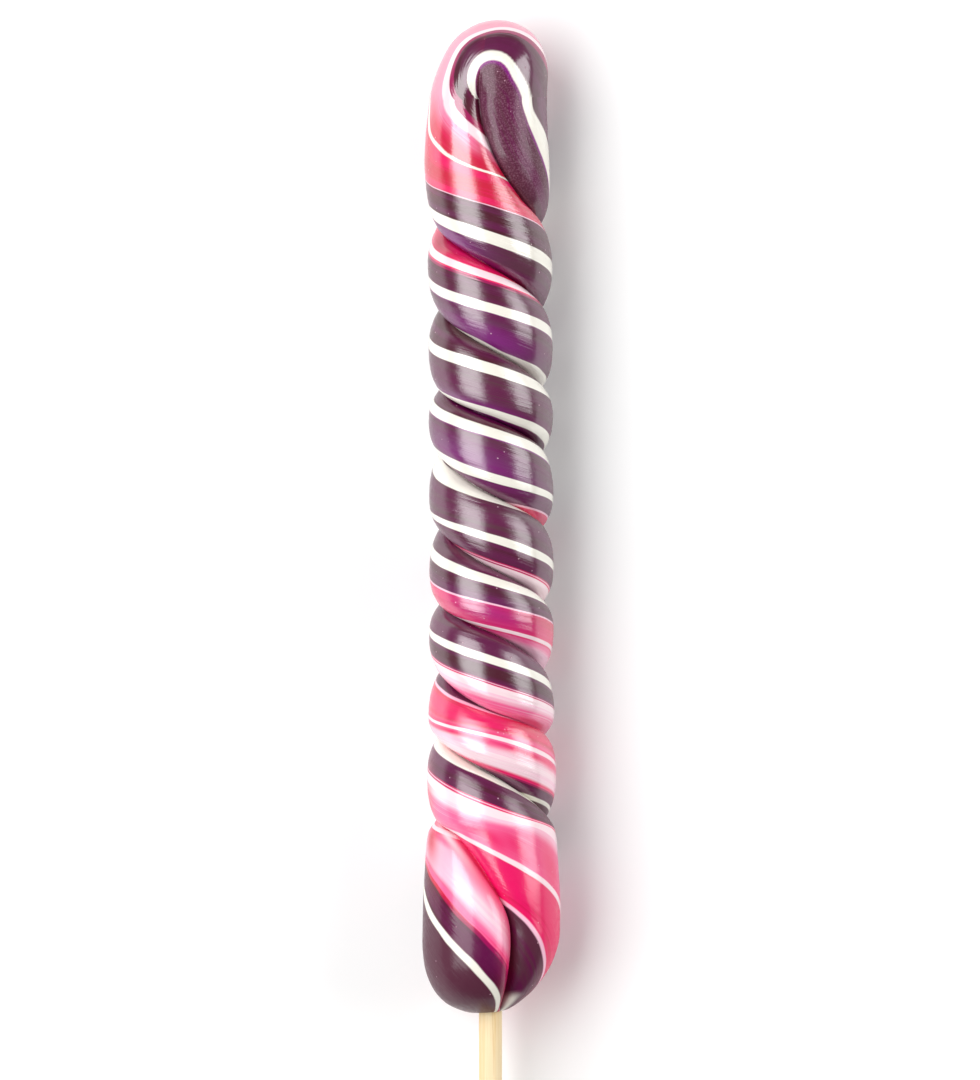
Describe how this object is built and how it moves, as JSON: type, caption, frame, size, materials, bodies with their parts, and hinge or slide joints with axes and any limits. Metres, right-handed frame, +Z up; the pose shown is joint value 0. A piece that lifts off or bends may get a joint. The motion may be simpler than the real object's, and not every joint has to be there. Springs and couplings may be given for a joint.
{
  "type": "twisted lollipop",
  "caption": "Long striped hard-candy lollipop: a rope folded in half and twisted on itself, with rounded ends pressed round a wooden stick.",
  "frame": {"origin": "centre of the bounding box, on the surface that the lollipop lies on", "axes": "+Y along the lollipop from the stick's free end to the fold of the candy, +Z up, out of the side that shows"},
  "size_m": [0.0296, 0.3438, 0.0285],
  "materials": {
    "candy": "glossy hard candy, striped in dark purple, pink and white along the rope",
    "stick": "plain pale wood, sanded smooth, grain along the stick"
  },
  "bodies": {
    "root": {"candy": "candy", "stick": "stick"}
  },
  "joints": []
}
